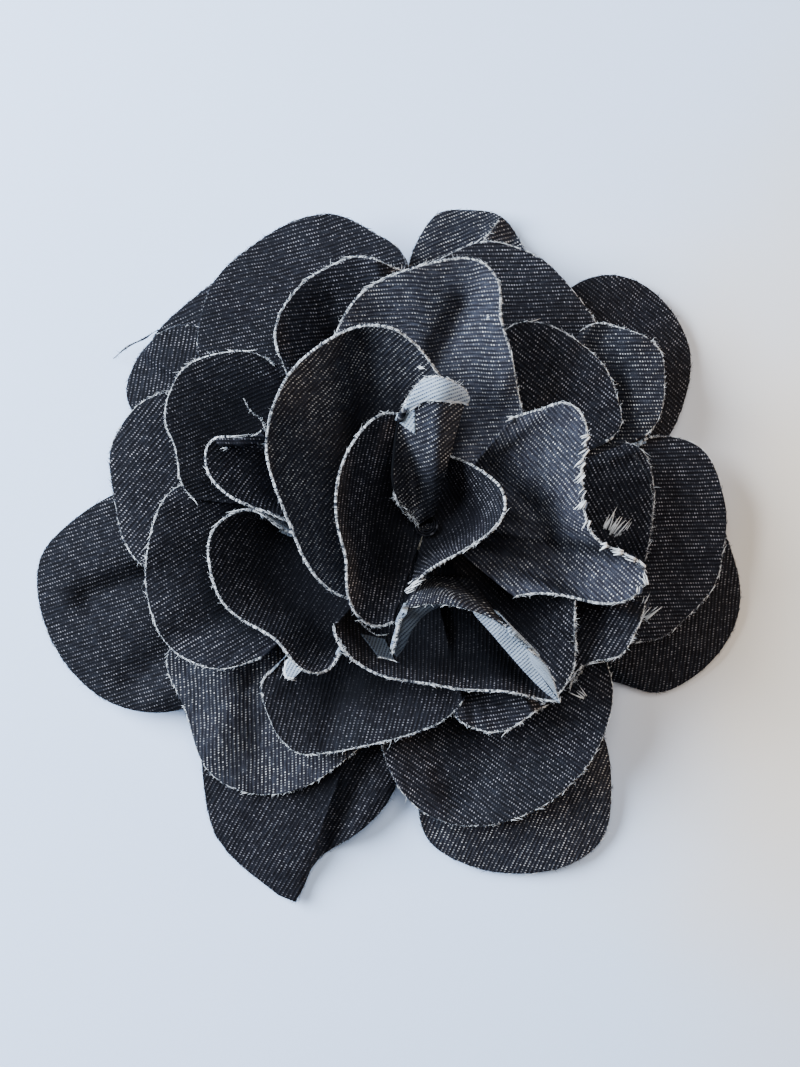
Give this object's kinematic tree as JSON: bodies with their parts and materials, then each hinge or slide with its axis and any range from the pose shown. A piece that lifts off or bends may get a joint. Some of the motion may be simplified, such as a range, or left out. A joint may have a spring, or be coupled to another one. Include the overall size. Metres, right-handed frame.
{
  "type": "flower hair clip",
  "caption": "Layered cloth flower with cupped, raw-edged petals on a felt base, sewn and glued to a sprung metal hair clip.",
  "frame": {"origin": "centre of the bounding box's underside, where the flower lies on a table", "axes": "+Z out of the flower's face, +X along the clip from its finger tabs to its beak, +Y across the clip"},
  "size_m": [0.1114, 0.1098, 0.0382],
  "materials": {
    "denim": "dark indigo twill with pale raw edges",
    "felt": "matte felt",
    "glue": "cloudy hot-melt",
    "thread": "matte twisted thread",
    "steel": "nickel-plated sheet"
  },
  "bodies": {
    "flower": {"bud": "denim", "clip_upper_arm": "steel", "felt_base": "felt", "felt_strap": "felt", "glue_core": "glue", "heart_front_low": "denim", "heart_hood": "denim", "heart_left": "denim", "heart_left_inner": "denim", "heart_right": "denim", "heart_right_inner": "denim", "hinge_pin": "steel", "inner_back": "denim", "inner_back_left": "denim", "inner_front_left": "denim", "inner_front_small": "denim", "inner_left": "denim", "inner_left_cuff": "denim", "inner_left_oval": "denim", "inner_left_upper": "denim", "inner_right_front": "denim", "inner_right_low": "denim", "middle_back": "denim", "middle_back_inner": "denim", "middle_back_left": "denim", "middle_front": "denim", "middle_front_left": "denim", "middle_left": "denim", "middle_right": "denim", "middle_right_folded": "denim", "middle_right_inner": "denim", "outer_back": "denim", "outer_back_left": "denim", "outer_back_right": "denim", "outer_front": "denim", "outer_front_left": "denim", "outer_left": "denim", "outer_left_small": "denim", "outer_right": "denim", "spring": "steel", "stitch_1": "thread", "stitch_2": "thread", "stitch_3": "thread", "stitch_4": "thread"},
    "lower_jaw": {"clip_lower_arm": "steel"}
  },
  "joints": [
    {"name": "clip_hinge", "type": "hinge", "parent": "flower", "child": "lower_jaw", "pos_m": [-0.009, 0.0045, 0.0044], "axis": [0, 1, 0], "range_deg": [0, 20], "stiffness_Nm_per_rad": 0.05, "springref_deg": -40.11, "deforming": ["spring"]}
  ]
}
